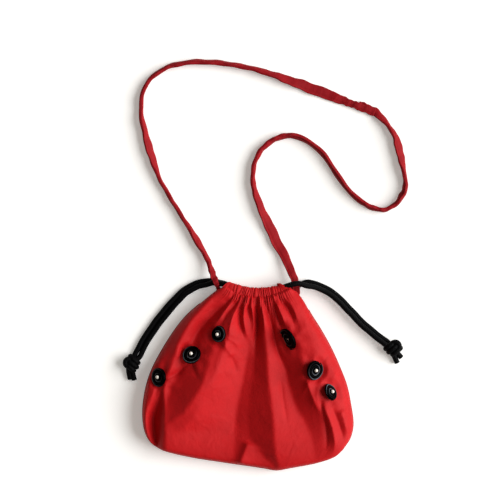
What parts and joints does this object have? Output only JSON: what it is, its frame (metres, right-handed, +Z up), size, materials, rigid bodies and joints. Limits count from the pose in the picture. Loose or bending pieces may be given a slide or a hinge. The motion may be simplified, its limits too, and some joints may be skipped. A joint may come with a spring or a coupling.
{
  "type": "crossbody bag",
  "caption": "Gathered cloth drawstring crossbody bag lying flat, with a folded casing, knotted drawcords, a thin sewn shoulder strap and rolled rosettes set with beads.",
  "frame": {"origin": "on the floor under the middle of the bag, at the flat middle of the back panel", "axes": "+X to the right of the bag seen from above, +Y from its bottom to its mouth, +Z up from the floor"},
  "size_m": [0.339, 0.492, 0.0377],
  "materials": {
    "red_cloth": "sateen weave",
    "red_strap": "plain weave",
    "black_cord": "braided",
    "black_cloth": "rolled plain weave",
    "pearl": "pearl"
  },
  "bodies": {
    "root": {"front_panel": "red_cloth", "back_panel": "red_cloth", "drawcord_left": "black_cord", "drawcord_right": "black_cord", "knot_left": "black_cord", "knot_right": "black_cord", "strap_left_length": "red_strap", "strap_right_length": "red_strap", "rosette_left_top": "black_cloth", "rosette_left_middle": "black_cloth", "rosette_left_bottom": "black_cloth", "rosette_right_top": "black_cloth", "rosette_right_middle": "black_cloth", "rosette_right_bottom": "black_cloth", "bead_left_top": "pearl", "bead_left_middle": "pearl", "bead_left_bottom": "pearl", "bead_right_top": "pearl", "bead_right_middle": "pearl", "bead_right_bottom": "pearl"}
  },
  "joints": []
}
